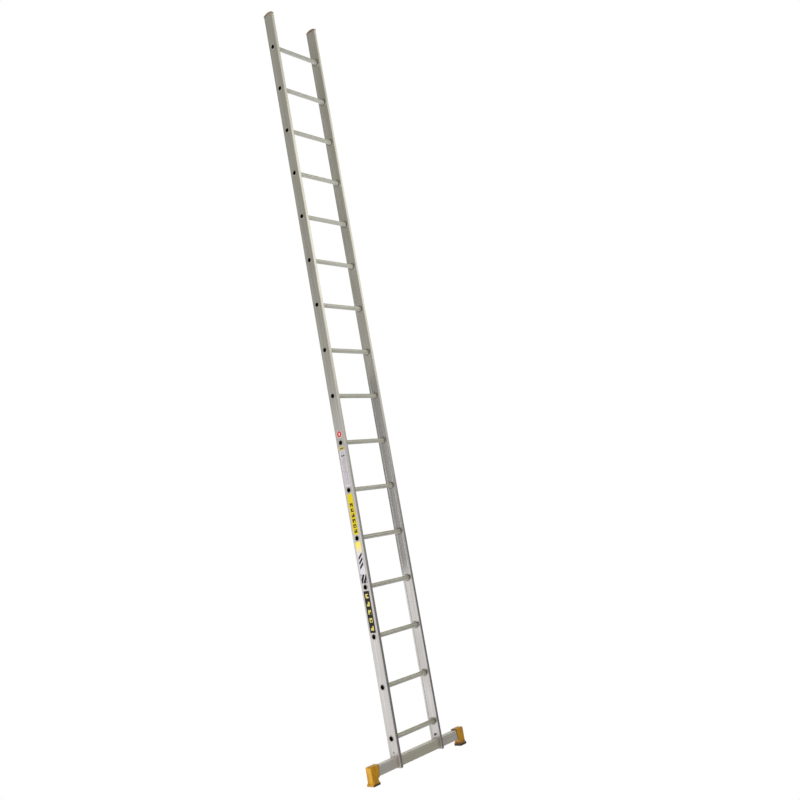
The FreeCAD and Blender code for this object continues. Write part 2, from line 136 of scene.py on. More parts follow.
class Wire:
    """A number that varies over a surface, with the arithmetic of plain numbers."""

    def __init__(self, tree: "ShaderTree", socket: bpy.types.NodeSocket) -> None:
        """Wrap one output socket.

        Args:
            tree: The tree that the socket belongs to.
            socket: The output socket.
        """
        self.tree = tree
        self.socket = socket

    def sibling(self, output: int | str) -> "Wire":
        """Another output of the same node."""
        return Wire(self.tree, self.socket.node.outputs[output])

    def math(self, operation: str, *values: "Wire | float") -> "Wire":
        """Add a Math node.

        Args:
            operation: The Math node's operation.
            values: Its inputs, in order.

        Returns:
            The result.
        """
        return self.tree.node("ShaderNodeMath", {"operation": operation}, dict(enumerate(values)))

    def __add__(self, other: "Wire | float") -> "Wire":
        """Sum."""
        return self.math("ADD", self, other)

    def __radd__(self, other: float) -> "Wire":
        """Sum with a plain number first."""
        return self.math("ADD", other, self)

    def __sub__(self, other: "Wire | float") -> "Wire":
        """Difference."""
        return self.math("SUBTRACT", self, other)

    def __rsub__(self, other: float) -> "Wire":
        """Difference with a plain number first."""
        return self.math("SUBTRACT", other, self)

    def __mul__(self, other: "Wire | float") -> "Wire":
        """Product."""
        return self.math("MULTIPLY", self, other)

    def __rmul__(self, other: float) -> "Wire":
        """Product with a plain number first."""
        return self.math("MULTIPLY", other, self)

    def __truediv__(self, other: "Wire | float") -> "Wire":
        """Quotient."""
        return self.math("DIVIDE", self, other)

    def __mod__(self, period: float) -> "Wire":
        """Remainder, never negative."""
        return self.math("FLOORED_MODULO", self, period)

    def __pow__(self, power: float) -> "Wire":
        """Power."""
        return self.math("POWER", self, power)

    def __abs__(self) -> "Wire":
        """Size without its sign."""
        return self.math("ABSOLUTE", self)

    def rise(self, start: float, end: float) -> "Wire":
        """A smooth step from 0 at start to 1 at end; it falls where start is the larger.

        Args:
            start: Value at which the step begins.
            end: Value at which it is complete.

        Returns:
            A mask.
        """
        return self.tree.node(
            "ShaderNodeMapRange",
            {"interpolation_type": "SMOOTHSTEP"},
            {"Value": self, "From Min": start, "From Max": end},
        )

    def within(self, low: float, high: float, soft: float = 0.0002) -> "Wire":
        """A mask that is 1 between two values.

        Args:
            low: Lower limit.
            high: Upper limit.
            soft: Half width of each edge.

        Returns:
            The mask.
        """
        return self.rise(low - soft, low + soft) * self.rise(high + soft, high - soft)


class ShaderTree:
    """A node tree that is filled from Python expressions."""

    def __init__(self, tree: bpy.types.NodeTree) -> None:
        """Start with an empty tree.

        Args:
            tree: The tree of a material or of the world.
        """
        tree.nodes.clear()
        self.tree = tree

    def node(
        self,
        kind: str,
        settings: dict[str, Any] | None = None,
        inputs: dict[int | str, Any] | None = None,
        output: int | str = 0,
    ) -> Wire:
        """Add one node of any type.

        Args:
            kind: The node's type.
            settings: Its settings, which are set first.
            inputs: Values or wires for its sockets, by name or number.
            output: The output that is wanted.

        Returns:
            That output.
        """
        node = self.tree.nodes.new(kind)
        for name, value in (settings or {}).items():
            setattr(node, name, value)
        for key, value in (inputs or {}).items():
            if isinstance(value, Wire):
                self.tree.links.new(value.socket, node.inputs[key])
            else:
                node.inputs[key].default_value = value
        return Wire(self, node.outputs[output])

    def tint(self, mask: Wire | float, first: Wire | Colour, second: Wire | Colour) -> Wire:
        """Blend two colours.

        Args:
            mask: 0 gives the first colour and 1 the second.
            first: First colour.
            second: Second colour.

        Returns:
            The blend.
        """
        inputs = {0: mask, 6: first, 7: second}
        return self.node("ShaderNodeMix", {"data_type": "RGBA"}, inputs, output=2)

    def stretched(self, place: Wire, factors: Triple) -> Wire:
        """Coordinates multiplied by a factor for each axis."""
        return self.node("ShaderNodeVectorMath", {"operation": "MULTIPLY"}, {0: place, 1: factors})

    def noise(self, place: Wire, factors: Triple, detail: float = 2.0) -> Wire:
        """Cloud-like variation between 0 and 1.

        Args:
            place: Coordinates.
            factors: Features per metre along each axis.
            detail: How much finer detail is added.

        Returns:
            The variation.
        """
        inputs = {"Vector": self.stretched(place, factors), "Scale": 1.0, "Detail": detail}
        return self.node("ShaderNodeTexNoise", {}, inputs)


class Canvas(ShaderTree):
    """The node tree of one material, with the object's own coordinates at hand."""

    def __init__(self, name: str) -> None:
        """Make an empty material.

        Args:
            name: The material's name.
        """
        self.material = bpy.data.materials.new(name)
        self.material.use_nodes = True
        super().__init__(self.material.node_tree)
        self.place = self.node("ShaderNodeTexCoord", output="Object")
        self.x = self.node("ShaderNodeSeparateXYZ", {}, {0: self.place})
        self.y = self.x.sibling(1)
        self.z = self.x.sibling(2)

    def paint(self, sockets: dict[str, Any], height: Wire, relief: float, strength: float) -> None:
        """Put the shader at the end of the tree.

        Args:
            sockets: Values or wires for the shader's sockets.
            height: Surface relief between 0 and 1.
            relief: Depth of that relief in metres.
            strength: Share of the relief that shows.
        """
        bump = self.node(
            "ShaderNodeBump", {}, {"Height": height, "Distance": relief, "Strength": strength}
        )
        surface = self.node("ShaderNodeBsdfPrincipled", {}, {**sockets, "Normal": bump})
        self.node_output(surface)

    def node_output(self, surface: Wire) -> None:
        """Link a surface to the material's output."""
        output = self.tree.nodes.new("ShaderNodeOutputMaterial")
        self.tree.links.new(surface.socket, output.inputs["Surface"])


# ---------------------------------------------------------------------------------------------
# Finishes
# ---------------------------------------------------------------------------------------------


@dataclass(frozen=True)
class RungPattern:
    """Where the rungs cross the stiles, as heights that repeat."""

    first: float
    pitch: float

    @classmethod
    def from_frame(cls) -> "RungPattern":
        """Read the first height and the pitch from the two lowest rungs."""
        low, high = (sum(corner[2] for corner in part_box(name)) / 2 for name in ("rung_01", "rung_02"))
        return cls(first=low, pitch=high - low)

    def radius(self, canvas: Canvas) -> Wire:
        """Distance from the nearest rung's axis.

        Args:
            canvas: The material's tree.

        Returns:
            The distance in metres.
        """
        half = self.pitch / 2
        rise = (canvas.z - (self.first - half)) % self.pitch - half
        return (canvas.y**2 + rise**2) ** 0.5


@dataclass(frozen=True)
class Aluminium:
    """Mill-finish extruded aluminium: die lines, soft streaks, cloudy oxide and a few scuffs."""

    name: str
    bright: Colour
    dull: Colour
    along: Axis
    roughness: float = 0.36
    metallic: float = 0.9
    line_pitch: float = 0.0014
    streak_pitch: float = 0.009
    relief: float = 0.0002
    scuff: Colour = tone(226, 226, 224)

    def weather(self, canvas: Canvas, base: Wire, rough: Wire) -> tuple[Wire, Wire]:
        """Add the marks of one particular profile.

        Args:
            canvas: The material's tree.
            base: Colour so far.
            rough: Roughness so far.

        Returns:
            The colour and the roughness with the marks.
        """
        return base, rough

    def make(self) -> bpy.types.Material:
        """Build the material."""
        canvas = Canvas(self.name)
        lines = canvas.noise(canvas.place, self.along.stretch(1 / self.line_pitch, 1.6), 3.0)
        streaks = canvas.noise(canvas.place, self.along.stretch(1 / self.streak_pitch, 0.9), 2.0)
        clouds = canvas.noise(canvas.place, self.along.stretch(14.0, 5.0), 4.0)
        grain = canvas.noise(canvas.place, (2600.0, 2600.0, 2600.0), 1.0)
        nicks = canvas.noise(canvas.place, self.along.stretch(60.0, 420.0), 2.0).rise(0.67, 0.72)
        scuffs = nicks * clouds.rise(0.5, 0.62)
        tarnish = (streaks * 0.55 + clouds * 0.3 + lines * 0.15).rise(0.36, 0.64)
        base = canvas.tint(tarnish, self.bright, self.dull)
        base = canvas.tint(scuffs * 0.35, base, self.scuff)
        rough = self.roughness + (lines - 0.5) * 0.16 + (clouds - 0.5) * 0.1 + scuffs * 0.12
        base, rough = self.weather(canvas, base, rough)
        height = lines * 0.7 + grain * 0.2 - scuffs * 0.3
        sockets = {"Base Color": base, "Roughness": rough, "Metallic": self.metallic}
        canvas.paint(sockets, height, self.relief, 0.3)
        return canvas.material


@dataclass(frozen=True)
class StileAluminium(Aluminium):
    """Stile extrusion, with a ring of painted shade and dirt round each rung."""

    rungs: RungPattern = RungPattern(0.0, 1.0)
    middle_x: float = 0.162
    foot_top: float = 0.11
    swage_radius: float = 0.015
    ring_width: float = 0.009
    soil: Colour = tone(84, 78, 62)
    foot_soil: Colour = tone(178, 164, 156)

    def weather(self, canvas: Canvas, base: Wire, rough: Wire) -> tuple[Wire, Wire]:
        """Darken a ring round each rung with painted shade and dirt, mostly inside, and dirty the stile's
        foot.

        Args:
            canvas: The material's tree.
            base: Colour so far.
            rough: Roughness so far.

        Returns:
            The colour and the roughness with the rings.
        """
        radius = self.rungs.radius(canvas)
        # Painted shade and dirt: a ring round each rung's joint, strongest on the inner faces where the
        # rung meets the stile.
        ring = radius.rise(self.swage_radius + self.ring_width, self.swage_radius)
        patchy = canvas.noise(canvas.place, (220.0, 220.0, 220.0), 3.0).rise(0.25, 0.7)
        inside = abs(canvas.x).rise(self.middle_x + 0.006, self.middle_x)
        joint_shade_and_dirt = ring * (0.08 + inside * (0.42 + 0.3 * patchy))
        base = canvas.tint(joint_shade_and_dirt, base, self.soil)
        foot = canvas.z.rise(self.foot_top, self.foot_top - 0.03)
        base = canvas.tint(foot * (0.35 + 0.3 * patchy), base, self.foot_soil)
        return base, rough + joint_shade_and_dirt * 0.2 + foot * 0.06


@dataclass(frozen=True)
class RungAluminium(Aluminium):
    """Rung tube: dirty grooves, a tread polished by feet, painted shade and dirt on the beads, and
    painted shade with some oxide dirt in the dark bore.
    """

    rungs: RungPattern = RungPattern(0.0, 1.0)
    tube_radius: float = 0.012
    groove_depth: float = 0.00055
    bore_radius: float = 0.0105
    mouth_radius: float = 0.0119
    mouth_x: float = 0.1705
    tread_reach: float = 0.11
    bead_x: float = 0.149
    groove_soil: Colour = tone(96, 94, 84)
    polish: Colour = tone(210, 211, 205)
    bead_soil: Colour = tone(104, 98, 78)
    bore_dark: Colour = tone(20, 18, 17)

    def weather(self, canvas: Canvas, base: Wire, rough: Wire) -> tuple[Wire, Wire]:
        """Dirty the grooves, paint shade and dirt on the beads, polish the middle of the tread and paint
        shade with some oxide dirt into the bore.

        Args:
            canvas: The material's tree.
            base: Colour so far.
            rough: Roughness so far.

        Returns:
            The colour and the roughness with the marks.
        """
        radius = self.rungs.radius(canvas)
        groove = radius.rise(self.tube_radius - 0.00005, self.tube_radius - self.groove_depth)
        tread = abs(canvas.x).rise(self.tread_reach + 0.04, self.tread_reach)
        base = canvas.tint(groove * 0.5, base, self.groove_soil)
        base = canvas.tint(tread * 0.2, base, self.polish)
        # Painted shade and dirt on the beads, where the rungs meet the stiles.
        beads = radius.rise(self.tube_radius + 0.0002, self.tube_radius + 0.0006)
        beads = beads * abs(canvas.x).rise(self.bead_x - 0.004, self.bead_x)
        base = canvas.tint(beads * 0.42, base, self.bead_soil)
        # Painted shade with some oxide dirt: the bore goes near-black, its reach widening at the open
        # mouth.
        flare = abs(canvas.x).rise(self.mouth_x, self.mouth_x + 0.0004)
        reach = self.bore_radius + flare * (self.mouth_radius - self.bore_radius)
        bore = (radius - reach).rise(0.0005, 0.0002)
        base = canvas.tint(bore, base, self.bore_dark)
        return base, rough - tread * 0.04 + bore * 0.3


@dataclass(frozen=True)
class BarAluminium(Aluminium):
    """Bar extrusion: an olive, handled middle, paler ends and a painted highlight under the upper edges.
    """

    middle_reach: float = 0.14
    edge_z: float = 0.084
    edge_width: float = 0.0035
    middle_shade: Colour = tone(188, 186, 168)
    end_shade: Colour = tone(194, 191, 190)
    rubbed_shade: Colour = tone(232, 235, 240)

    def weather(self, canvas: Canvas, base: Wire, rough: Wire) -> tuple[Wire, Wire]:
        """Shade the middle and the ends apart and paint a highlight under the top edge; see
        Aluminium.weather.
        """
        cloud = canvas.noise(canvas.place, (9.0, 30.0, 30.0), 3.0) * 0.08
        ends = (abs(canvas.x) + cloud).rise(self.middle_reach, self.middle_reach + 0.16)
        shade = canvas.tint(ends, self.middle_shade, self.end_shade)
        base = canvas.tint(0.55, base, shade)
        # Painted highlight: a pale band just under the top edge, which is also made a little smoother.
        top_edge_band = canvas.z.rise(self.edge_z - self.edge_width, self.edge_z - 0.001)
        return canvas.tint(top_edge_band * 0.6, base, self.rubbed_shade), rough - top_edge_band * 0.08


@dataclass(frozen=True)
class MouldedPlastic:
    """Moulded plastic with a fine spark-eroded grain, flow marks and dirt near the ground."""

    name: str
    colour: Colour
    shade: Colour
    dirt: Colour
    roughness: float = 0.42
    dirt_top: float = 0.03
    coat: float = 0.15
    rub: Colour = tone(236, 214, 160)

    def weather(self, canvas: Canvas, base: Wire) -> Wire:
        """Add the marks of one particular moulding.

        Args:
            canvas: The material's tree.
            base: Colour so far.

        Returns:
            The colour with the marks.
        """
        return base

    def make(self) -> bpy.types.Material:
        """Build the material."""
        canvas = Canvas(self.name)
        grain = canvas.noise(canvas.place, (1500.0, 1500.0, 1500.0), 2.0)
        flow = canvas.noise(canvas.place, (60.0, 60.0, 22.0), 4.0)
        specks = canvas.noise(canvas.place, (420.0, 420.0, 420.0), 2.0).rise(0.66, 0.74)
        rubs = canvas.noise(canvas.place, (38.0, 260.0, 260.0), 3.0).rise(0.62, 0.7)
        base = canvas.tint(flow.rise(0.35, 0.68), self.colour, self.shade)
        base = canvas.tint(specks * 0.3, base, self.dirt)
        low = canvas.z.rise(self.dirt_top, 0.0) * flow.rise(0.3, 0.6)
        base = canvas.tint(low * 0.55, base, self.dirt)
        base = canvas.tint(rubs * 0.14, base, self.rub)
        base = self.weather(canvas, base)
        rough = self.roughness + (grain - 0.5) * 0.14 + low * 0.25 + rubs * 0.1
        height = grain * 0.6 + flow * 0.3 - rubs * 0.4
        sockets = {"Base Color": base, "Roughness": rough, "Coat Weight": self.coat}
        canvas.paint(sockets, height, 0.0003, 0.35)
        return canvas.material


@dataclass(frozen=True)
class FootPlastic(MouldedPlastic):
    """Foot moulding: painted shade along the mouth that the bar goes into, and a darker right foot."""

    mouth_x: float = 0.303
    mouth_z: float = 0.09
    slope: float = 0.136
    reach: float = 0.0045
    grime: Colour = tone(112, 98, 74)
    skirt_dirt: Colour = tone(98, 62, 40)

    def weather(self, canvas: Canvas, base: Wire) -> Wire:
        """Paint shade on the rim of the slanting mouth and darken the right foot, most of all low on its
        skirt; see MouldedPlastic.weather.
        """
        # Painted shade on the rim of the slanting mouth, where the bar goes in.
        rim = self.mouth_x + (self.mouth_z - canvas.z) * self.slope
        mouth = (abs(canvas.x) - rim).rise(self.reach, 0.0005) * canvas.z.rise(0.028, 0.034)
        base = canvas.tint(mouth * 0.85, base, self.grime)
        # The right foot is darker all over, most of all low on its skirt.
        patchy = canvas.noise(canvas.place, (70.0, 90.0, 90.0), 3.0).rise(0.3, 0.6)
        right = canvas.x.rise(0.0, 0.1)
        skirt = 0.1 + canvas.z.rise(0.03, 0.012) * (0.3 + 0.5 * patchy)
        return canvas.tint(right * skirt, base, self.skirt_dirt)


@dataclass(frozen=True)
class Rubber:
    """Dark moulded rubber with a dusty bloom towards the ground."""

    name: str
    colour: Colour
    bloom: Colour
    bloom_top: float = 0.006

    def make(self) -> bpy.types.Material:
        """Build the material."""
        canvas = Canvas(self.name)
        grain = canvas.noise(canvas.place, (1100.0, 1100.0, 1100.0), 3.0)
        patches = canvas.noise(canvas.place, (90.0, 90.0, 90.0), 4.0)
        dust = canvas.z.rise(self.bloom_top, 0.0) * 0.4 + patches.rise(0.5, 0.75) * 0.3
        base = canvas.tint(dust, self.colour, self.bloom)
        rough = 0.7 + (grain - 0.5) * 0.2 + dust * 0.15
        canvas.paint({"Base Color": base, "Roughness": rough}, grain + patches * 0.4, 0.0004, 0.5)
        return canvas.material


@dataclass(frozen=True)
class Steel:
    """Plated fastener steel with turning marks and worn plating."""

    name: str
    colour: Colour
    worn: Colour
    roughness: float = 0.35

    def make(self) -> bpy.types.Material:
        """Build the material."""
        canvas = Canvas(self.name)
        turning = canvas.noise(canvas.place, (3000.0, 300.0, 300.0), 2.0)
        plating = canvas.noise(canvas.place, (320.0, 320.0, 320.0), 4.0).rise(0.42, 0.68)
        base = canvas.tint(plating * 0.6, self.colour, self.worn)
        rough = self.roughness + plating * 0.2 + (turning - 0.5) * 0.15
        sockets = {"Base Color": base, "Roughness": rough, "Metallic": 1.0}
        canvas.paint(sockets, turning, 0.0001, 0.3)
        return canvas.material


@dataclass(frozen=True)
class PrintedFilm:
    """A printed vinyl label: a ground colour, generic printed shapes and handling marks."""

    node: str
    ground: Colour
    roughness: float = 0.34
    handling: Colour = tone(150, 146, 138)

    @property
    def low(self) -> float:
        """Height of the label's lower edge."""
        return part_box(self.node)[0][2]

    @property
    def height(self) -> float:
        """Length of the label up the stile."""
        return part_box(self.node)[1][2] - self.low

    def ink(self, canvas: Canvas, up: Wire) -> Wire | Colour:
        """Colour of the print.

        Args:
            canvas: The material's tree.
            up: Height above the label's lower edge.

        Returns:
            The printed colour.
        """
        return self.ground

    def make(self) -> bpy.types.Material:
        """Build the material."""
        canvas = Canvas(f"{self.node}_film")
        up = canvas.z - self.low
        wear = canvas.noise(canvas.place, (180.0, 180.0, 60.0), 4.0)
        rubs = canvas.noise(canvas.place, (30.0, 900.0, 60.0), 2.0).rise(0.66, 0.72)
        worn = (wear.rise(0.55, 0.8) + rubs) * 0.16
        base = canvas.tint(worn, self.ink(canvas, up), self.handling)
        rough = self.roughness + (wear - 0.5) * 0.2 + rubs * 0.2
        sockets = {"Base Color": base, "Roughness": rough, "Specular IOR Level": 0.25}
        canvas.paint(sockets, wear * 0.5 - rubs * 0.4, 0.0001, 0.25)
        return canvas.material


@dataclass(frozen=True)
class RoundFilm(PrintedFilm):
    """A red disc with a pale rim and a short pale bar up its middle."""

    mark: Colour = tone(238, 232, 230)
    rim: float = 0.0012
    bar_half_width: float = 0.0028
    bar_half_height: float = 0.006

    def ink(self, canvas: Canvas, up: Wire) -> Wire | Colour:
        """Colour of the print; see PrintedFilm.ink."""
        reach = self.height / 2
        radius = (canvas.y**2 + (up - reach) ** 2) ** 0.5
        rim = radius.rise(reach - self.rim - 0.0004, reach - self.rim)
        across = abs(canvas.y).rise(self.bar_half_width + 0.0004, self.bar_half_width)
        bar = across * abs(up - reach).rise(self.bar_half_height + 0.0004, self.bar_half_height)
        return canvas.tint(rim.math("MAXIMUM", rim, bar), self.ground, self.mark)


@dataclass(frozen=True)
class WavyFilm(PrintedFilm):
    """A small patch with one dark wavy stroke."""

    stroke: Colour = tone(84, 70, 26)

    def ink(self, canvas: Canvas, up: Wire) -> Wire | Colour:
        """Colour of the print; see PrintedFilm.ink."""
        wave = canvas.y.math("SINE", canvas.y * 420.0) * 0.0022 + self.height * 0.45
        line = abs(up - wave).rise(0.0036, 0.003) * abs(canvas.y).rise(0.0145, 0.014)
        return canvas.tint(line, self.ground, self.stroke)


@dataclass(frozen=True)
class DataFilm(PrintedFilm):
    """A pale plate: a block of grey rules, two round spots and dashed columns."""

    rule: Colour = tone(72, 68, 80)
    dash: Colour = tone(112, 92, 104)
    spot: Colour = tone(30, 28, 36)
    spot_radius: float = 0.0056
    margin: float = 0.0155

    def ink(self, canvas: Canvas, up: Wire) -> Wire | Colour:
        """Colour of the print; see PrintedFilm.ink."""
        inside = abs(canvas.y).rise(self.margin, self.margin - 0.0006)
        top = self.height
        rules = (up % 0.0034).within(0.0, 0.0014) * up.rise(top - 0.021, top - 0.0205)
        rules = rules * up.rise(top - 0.003, top - 0.0035) * inside
        side = abs(canvas.y) - 0.0072
        distance = (side**2 + (up - (top - 0.0274)) ** 2) ** 0.5
        spots = distance.rise(self.spot_radius + 0.0004, self.spot_radius)
        dashes = canvas.noise(canvas.place, (1.0, 240.0, 190.0), 1.0).rise(0.4, 0.47)
        columns = ((canvas.y + 0.02) % 0.0052).within(0.001, 0.0036)
        body = up.within(0.008, top - 0.034, 0.0006)
        base = canvas.tint(rules * 0.8, self.ground, self.rule)
        base = canvas.tint(columns * dashes * body * inside, base, self.dash)
        return canvas.tint(spots, base, self.spot)


@dataclass(frozen=True)
class BarFilm(PrintedFilm):
    """A bold ground with a column of plain blocks, each with a round bite out of another place."""

    block: Colour = tone(70, 60, 22)
    pitch: float = 0.027
    fill: float = 0.68
    half_width: float = 0.0095
    start: float = 0.012
    stop: float = 0.062
    bite: float = 0.0042
    bite_shift: float = 0.0058

    def ink(self, canvas: Canvas, up: Wire) -> Wire | Colour:
        """Colour of the print; see PrintedFilm.ink."""
        step = up - self.start
        phase = step % self.pitch
        number = (step - phase) / self.pitch
        rows = up.within(self.start, self.height - self.stop)
        blocks = phase.within(0.0, self.pitch * self.fill) * rows
        blocks = blocks * abs(canvas.y).rise(self.half_width, self.half_width - 0.0006)
        across = canvas.y - number.math("SINE", number * 2.4 + 0.9) * self.bite_shift
        along = phase - self.pitch * self.fill / 2 - number.math("COSINE", number * 1.9) * self.bite_shift
        bite = ((across**2 + along**2) ** 0.5).rise(self.bite + 0.0005, self.bite)
        return canvas.tint(blocks * (1 - bite), self.ground, self.block)


@dataclass(frozen=True)
class FadeFilm(PrintedFilm):
    """White film whose yellow top fades out above a few slanting dark blocks."""

    glow: Colour = tone(236, 216, 84)
    block: Colour = tone(34, 32, 32)

    def ink(self, canvas: Canvas, up: Wire) -> Wire | Colour:
        """Colour of the print; see PrintedFilm.ink."""
        fade = up.rise(self.height - 0.075, self.height - 0.004)
        base = canvas.tint(fade, self.ground, self.glow)
        slant = up + canvas.y * 0.9
        bars = ((slant - 0.036) % 0.024).within(0.0, 0.015)
        field = slant.within(0.03, 0.108) * abs(canvas.y).rise(0.0145, 0.0139)
        return canvas.tint(bars * field, base, self.block)


@dataclass(frozen=True)
class SlashFilm(PrintedFilm):
    """White film crossed by slanting black slashes that grow thicker downwards."""

    slash: Colour = tone(24, 23, 23)
    pitch: float = 0.0225
    thinning: float = 0.1

    def ink(self, canvas: Canvas, up: Wire) -> Wire | Colour:
        """Colour of the print; see PrintedFilm.ink."""
        slant = canvas.y + up * 0.5
        phase = (slant + 0.01) % self.pitch
        share = self.pitch * 0.88 - up * self.thinning
        marks = (phase - share).rise(0.0003, -0.0003)
        return canvas.tint(marks, self.ground, self.slash)


# ---------------------------------------------------------------------------------------------
# Modelling
# ---------------------------------------------------------------------------------------------


class Workpiece:
    """A mesh object that is shaped in edit mode, one operator at a time."""

    def __init__(self, name: str, low: Triple, high: Triple) -> None:
        """Add a block between two corners and open it for editing.

        Args:
            name: The piece's name.
            low: Lowest corner.
            high: Highest corner.
        """
        bpy.ops.object.select_all(action="DESELECT")
        size = [top - bottom for bottom, top in zip(low, high)]
        middle = [(top + bottom) / 2 for bottom, top in zip(low, high)]
        bpy.ops.mesh.primitive_cube_add(size=1.0, location=middle, scale=size)
        bpy.ops.object.transform_apply(location=True, rotation=True, scale=True)
        self.object = bpy.context.object
        self.object.name = name
        self.object.data.name = name
        bpy.ops.object.mode_set(mode="EDIT")

    def _choose(self, mode: str, group: str, test: Callable[[Any], bool]) -> None:
        """Select the elements of one kind that pass a test."""
        bpy.ops.mesh.select_mode(type=mode)
        bpy.ops.mesh.select_all(action="DESELECT")
        mesh = bmesh.from_edit_mesh(self.object.data)
        for element in getattr(mesh, group):
            element.select_set(test(element))
        bmesh.update_edit_mesh(self.object.data)

    def faces(self, test: Callable[[Vector, Vector], bool]) -> None:
        """Select faces.

        Args:
            test: Takes a face's middle and its normal.
        """
        self._choose("FACE", "faces", lambda face: test(face.calc_center_median(), face.normal))

    def edges(self, test: Callable[[Vector, Vector], bool]) -> None:
        """Select edges.

        Args:
            test: Takes an edge's two ends.
        """
        self._choose("EDGE", "edges", lambda edge: test(edge.verts[0].co, edge.verts[1].co))

    def cut(self, point: Triple, normal: Triple) -> None:
        """Split what is selected along a plane."""
        bpy.ops.mesh.bisect(plane_co=point, plane_no=normal)

    def cut_all(self, point: Triple, normal: Triple) -> None:
        """Split the whole mesh along a plane."""
        bpy.ops.mesh.select_all(action="SELECT")
        self.cut(point, normal)

    def move(self, offset: Triple) -> None:
        """Move what is selected."""
        bpy.ops.transform.translate(value=offset)

    def extrude(self, offset: Triple) -> None:
        """Extrude the selected faces by an offset."""
        bpy.ops.mesh.extrude_region_move(TRANSFORM_OT_translate={"value": offset})

    def resize(self, factors: Triple, centre: Triple) -> None:
        """Scale what is selected about a point."""
        bpy.ops.transform.resize(value=factors, center_override=centre)

    def inset(self, width: float) -> None:
        """Inset the selected faces by a width."""
        bpy.ops.mesh.inset(thickness=width, use_even_offset=True)

    def round_edges(self, radius: float, segments: int) -> None:
        """Bevel the selected edges."""
        bpy.ops.mesh.bevel(offset=radius, segments=segments, affect="EDGES")

    def finish(self, edge: float, segments: int = 3, angle: float = 32.0) -> bpy.types.Object:
        """Close the mesh, soften its sharp edges and smooth its shading.

        Args:
            edge: Radius of the last bevel.
            segments: Segments of that bevel.
            angle: Edges sharper than this, in degrees, are bevelled.

        Returns:
            The finished object.
        """
        bpy.ops.mesh.select_all(action="SELECT")
        bpy.ops.mesh.remove_doubles(threshold=0.000005)
        bpy.ops.mesh.normals_make_consistent(inside=False)
        bpy.ops.object.mode_set(mode="OBJECT")
        bevel = self.object.modifiers.new("edges", "BEVEL")
        bevel.width = edge
        bevel.segments = segments
        bevel.limit_method = "ANGLE"
        bevel.angle_limit = math.radians(angle)
        bpy.ops.object.modifier_apply(modifier=bevel.name)
        bpy.ops.object.shade_smooth_by_angle(angle=math.radians(angle))
        return self.object


def mirror_copy(piece: bpy.types.Object, name: str) -> bpy.types.Object:
    """Copy a right-hand piece to the left side, with a mesh of its own.

    Args:
        piece: The right-hand piece.
        name: The copy's name.

    Returns:
        The copy.
    """
    copy = piece.copy()
    copy.data = piece.data.copy()
    copy.name = name
    copy.data.name = name
    bpy.context.scene.collection.objects.link(copy)
    copy.data.transform(Matrix.Diagonal((-1.0, 1.0, 1.0, 1.0)))
    copy.data.flip_normals()
    return copy


def dress(piece: bpy.types.Object, material: bpy.types.Material) -> None:
    """Give a piece one material in all its slots.

    Args:
        piece: The piece.
        material: The material.
    """
    if not piece.material_slots:
        piece.data.materials.append(material)
    for slot in piece.material_slots:
        slot.material = material


def dress_nodes(names: list[str], material: bpy.types.Material) -> None:
    """Give CAD nodes a material and report them.

    Args:
        names: The nodes' names.
        material: The material.
    """
    for name in names:
        dress(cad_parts[name], material)
        LOG.info("%s: %s", name, material.name)


def place_piece(
    piece: bpy.types.Object, node: str, material: bpy.types.Material
) -> None:
    """Let a finished piece stand for a CAD node.

    Args:
        piece: The piece.
        node: The node that it replaces.
        material: Its material.
    """
    dress(piece, material)
    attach(piece, BODY)
    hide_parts(node)
    LOG.info("%s: %d faces, %s", piece.name, len(piece.data.polygons), material.name)


# ---------------------------------------------------------------------------------------------
# Sub-assemblies
# ---------------------------------------------------------------------------------------------


@dataclass
class Stiles:
    """The two uprights."""

    rungs: RungPattern

    def build(self) -> None:
        """Dress both stiles."""
        finish = StileAluminium(
            "stile_aluminium",
            bright=tone(214, 213, 210),
            dull=tone(190, 188, 183),
            along=Axis.Z,
            roughness=0.27,
            rungs=self.rungs,
        )
        dress_nodes([f"{side.word}_stile" for side in Side], finish.make())


@dataclass
class Rungs:
    """The sixteen tubes that are swaged into the stiles."""

    rungs: RungPattern

    def build(self) -> None:
        """Dress every rung."""
        finish = RungAluminium(
            "rung_aluminium",
            bright=tone(208, 208, 199),
            dull=tone(182, 182, 170),
            along=Axis.X,
            roughness=0.5,
            metallic=0.35,
            streak_pitch=0.006,
            rungs=self.rungs,
        )
        names = sorted(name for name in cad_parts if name.startswith("rung_"))
        dress_nodes(names, finish.make())


@dataclass
class StabiliserBar:
    """The rectangular tube under the ladder and the moulded saddles that hold it."""

    def build(self) -> None:
        """Dress the bar and both saddles."""
        bar = BarAluminium(
            "bar_aluminium",
            bright=tone(208, 205, 200),
            dull=tone(182, 177, 170),
            along=Axis.X,
            roughness=0.46,
            metallic=0.4,
            edge_z=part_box("stabiliser_bar")[1][2],
        )
        dress_nodes(["stabiliser_bar"], bar.make())
        saddle = MouldedPlastic(
            "saddle_plastic",
            colour=tone(180, 172, 162),
            shade=tone(160, 152, 142),
            dirt=tone(108, 98, 86),
            roughness=0.5,
            dirt_top=0.04,
        )
        dress_nodes([f"{side.word}_bar_saddle" for side in Side], saddle.make())


@dataclass
class Fasteners:
    """Cross bolts, nuts, washers and the screws that lock the bar."""

    def build(self) -> None:
        """Dress every fastener."""
        zinc = Steel("zinc_steel", tone(196, 196, 194), tone(150, 148, 142))
        black = Steel("black_steel", tone(66, 66, 68), tone(104, 102, 98), roughness=0.45)
        dress_nodes([f"{side.word}_saddle_bolt" for side in Side], zinc.make())
        kinds = ("saddle_nut", "saddle_washer", "bar_lock_screw")
        dress_nodes([f"{side.word}_{kind}" for side in Side for kind in kinds], black.make())


